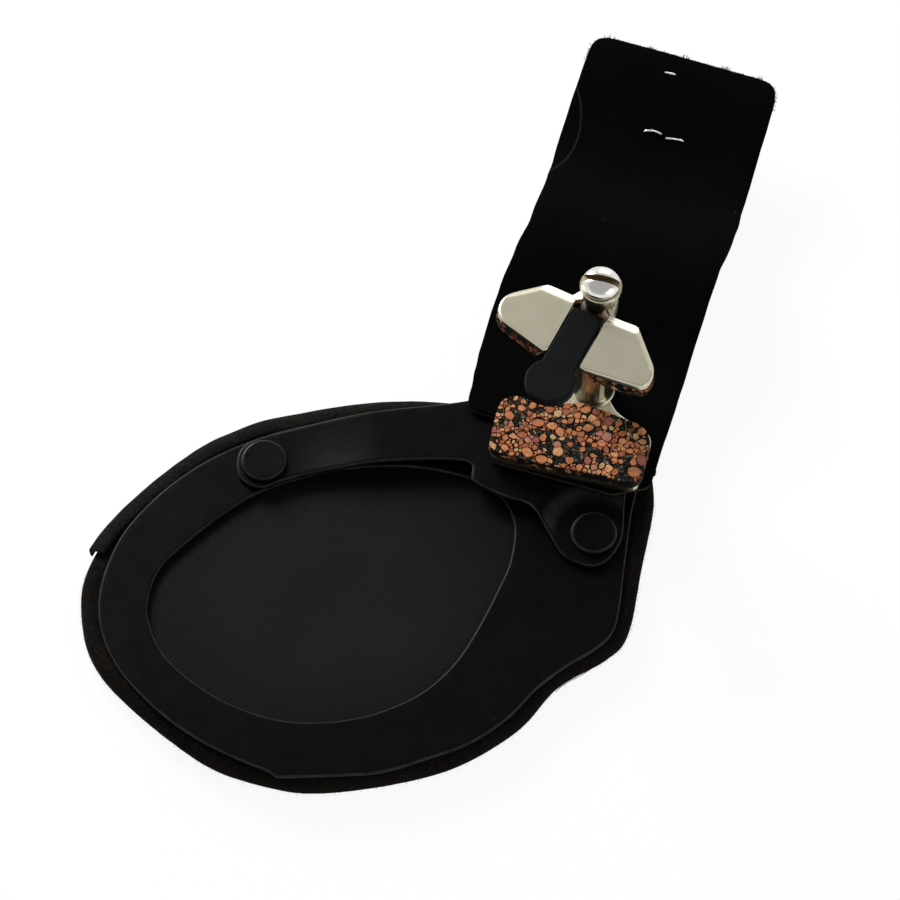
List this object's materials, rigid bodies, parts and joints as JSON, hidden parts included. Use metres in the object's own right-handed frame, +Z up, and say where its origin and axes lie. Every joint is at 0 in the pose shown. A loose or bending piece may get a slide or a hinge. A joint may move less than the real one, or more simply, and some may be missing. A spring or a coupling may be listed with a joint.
{
  "type": "violin shoulder rest",
  "caption": "Clamp-on violin shoulder rest: egg-shaped padded base, ring frame and riveted arm, cork-faced screw clamp with a flip lever, and a velvet collarbone flap.",
  "frame": {"origin": "middle of the cushion's flat underside", "axes": "+X along the cushion's long way towards the clamp, +Y to the back towards the flap's end, +Z up out of the cushion"},
  "size_m": [0.1955, 0.2313, 0.0767],
  "materials": {
    "velvet": "matt pile",
    "foam": "matt",
    "leatherette": "smooth",
    "binding_cloth": "smooth",
    "black_paint": "satin",
    "leather": "matt",
    "staple_wire": "bright",
    "nickel": "satin",
    "chrome": "polished",
    "lever_black": "matt",
    "cork": "matt"
  },
  "bodies": {
    "base": {"cushion_cover": "velvet", "cushion_foam": "foam", "centre_panel": "leatherette", "edge_binding": "binding_cloth", "ring_frame": "black_paint", "arm_plate": "black_paint", "cap_rivet_left": "black_paint", "cap_rivet_right": "black_paint", "foot_backing": "leather", "foot_velvet": "velvet", "lower_jaw": "nickel", "lower_cork": "cork", "jaw_rivet_left": "nickel", "jaw_rivet_right": "nickel", "post_tube": "nickel"},
    "carriage": {"jaw_stem": "nickel", "thrust_washer": "nickel"},
    "screw": {"clamp_screw": "chrome"},
    "swivel_jaw": {"upper_jaw": "nickel", "upper_cork_left": "cork", "upper_cork_right": "cork", "lever_pin": "nickel"},
    "flip_lever": {"lever": "lever_black"},
    "flap": {"flap_backing": "leather", "flap_velvet": "velvet", "staple_near": "staple_wire", "staple_far": "staple_wire"}
  },
  "joints": [
    {"name": "jaw_lift", "type": "slide", "parent": "base", "child": "carriage", "axis": [0, 0, 1], "range_m": [-0.008, 0.004]},
    {"name": "screw_turn", "type": "hinge", "parent": "carriage", "child": "screw", "pos_m": [0.06202, 0.05751, 0.0735], "axis": [0, 0, 1], "range_deg": [-2881, 1441]},
    {"name": "jaw_swivel", "type": "hinge", "parent": "carriage", "child": "swivel_jaw", "pos_m": [0.06202, 0.05751, 0.0675], "axis": [0, 0, 1], "range_deg": [-25, 25]},
    {"name": "lever_flip", "type": "hinge", "parent": "swivel_jaw", "child": "flip_lever", "pos_m": [0.05827, 0.04999, 0.0655], "axis": [-0.8949, 0.4462, 0], "range_deg": [0, 85]},
    {"name": "flap_fold", "type": "hinge", "parent": "base", "child": "flap", "pos_m": [0.06413, 0.06423, 0.01625], "axis": [0.9537, -0.3007, 0], "range_deg": [-45, 45]}
  ],
  "couplings": [
    {"joint": "screw_turn", "follows": "jaw_lift", "rad_per_m": 6283.2}
  ]
}
